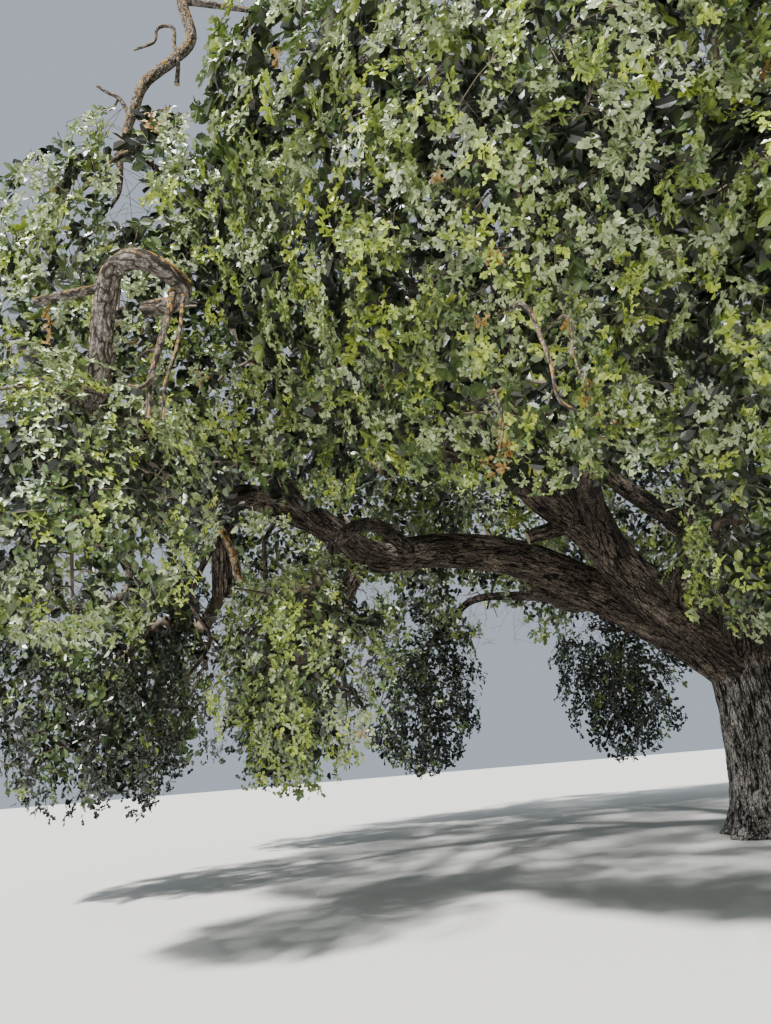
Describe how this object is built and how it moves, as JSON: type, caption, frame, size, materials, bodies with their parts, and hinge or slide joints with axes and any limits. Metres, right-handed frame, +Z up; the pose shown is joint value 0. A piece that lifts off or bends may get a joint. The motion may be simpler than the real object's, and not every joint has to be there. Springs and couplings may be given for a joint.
{
  "type": "spreading oak tree",
  "caption": "Old spreading oak with a thick furrowed trunk, heavy boughs, weeping skirts of foliage and bare dead limbs.",
  "frame": {"origin": "centre of the flat cut under the trunk, at ground level", "axes": "+Z up along the trunk; the pictured side of the tree faces -Y; the two long low boughs reach towards -X"},
  "size_m": [25.6607, 23.4884, 17.4591],
  "materials": {
    "bark": "deeply furrowed grey-brown bark, rough and dry",
    "bare_wood": "weathered grey dead wood with orange lichen",
    "foliage": "grey-green lobed leaves, some yellow-green, with a soft sheen"
  },
  "bodies": {
    "root": {"bare_limb": "bare_wood", "bough_apron_front": "bark", "bough_shoulder_back": "bark", "bough_shoulder_back_left": "bark", "bough_shoulder_back_right": "bark", "bough_shoulder_corner": "bark", "bough_shoulder_far_left": "bark", "bough_shoulder_front": "bark", "bough_shoulder_front_left": "bark", "bough_shoulder_front_right": "bark", "bough_shoulder_left": "bark", "bough_shoulder_right": "bark", "bough_skirt_back": "bark", "bough_skirt_back_left": "bark", "bough_skirt_back_right": "bark", "bough_skirt_corner": "bark", "bough_skirt_far_left": "bark", "bough_skirt_front_right": "bark", "bough_skirt_left": "bark", "bough_skirt_right": "bark", "bough_tongue_front": "bark", "bough_tongue_right": "bark", "bough_top": "bark", "bough_upper_back": "bark", "bough_upper_back_left": "bark", "bough_upper_back_right": "bark", "bough_upper_front": "bark", "bough_upper_left": "bark", "bough_upper_right": "bark", "broken_limb": "bare_wood", "dead_limb": "bare_wood", "foliage_apron_front": "foliage", "foliage_shoulder_back": "foliage", "foliage_shoulder_back_left": "foliage", "foliage_shoulder_back_right": "foliage", "foliage_shoulder_corner": "foliage", "foliage_shoulder_far_left": "foliage", "foliage_shoulder_front": "foliage", "foliage_shoulder_front_left": "foliage", "foliage_shoulder_front_right": "foliage", "foliage_shoulder_left": "foliage", "foliage_shoulder_right": "foliage", "foliage_skirt_back": "foliage", "foliage_skirt_back_left": "foliage", "foliage_skirt_back_right": "foliage", "foliage_skirt_corner": "foliage", "foliage_skirt_far_left": "foliage", "foliage_skirt_front_right": "foliage", "foliage_skirt_left": "foliage", "foliage_skirt_right": "foliage", "foliage_tongue_front": "foliage", "foliage_tongue_right": "foliage", "foliage_top": "foliage", "foliage_upper_back": "foliage", "foliage_upper_back_left": "foliage", "foliage_upper_back_right": "foliage", "foliage_upper_front": "foliage", "foliage_upper_left": "foliage", "foliage_upper_right": "foliage", "trunk": "bark"}
  },
  "joints": []
}
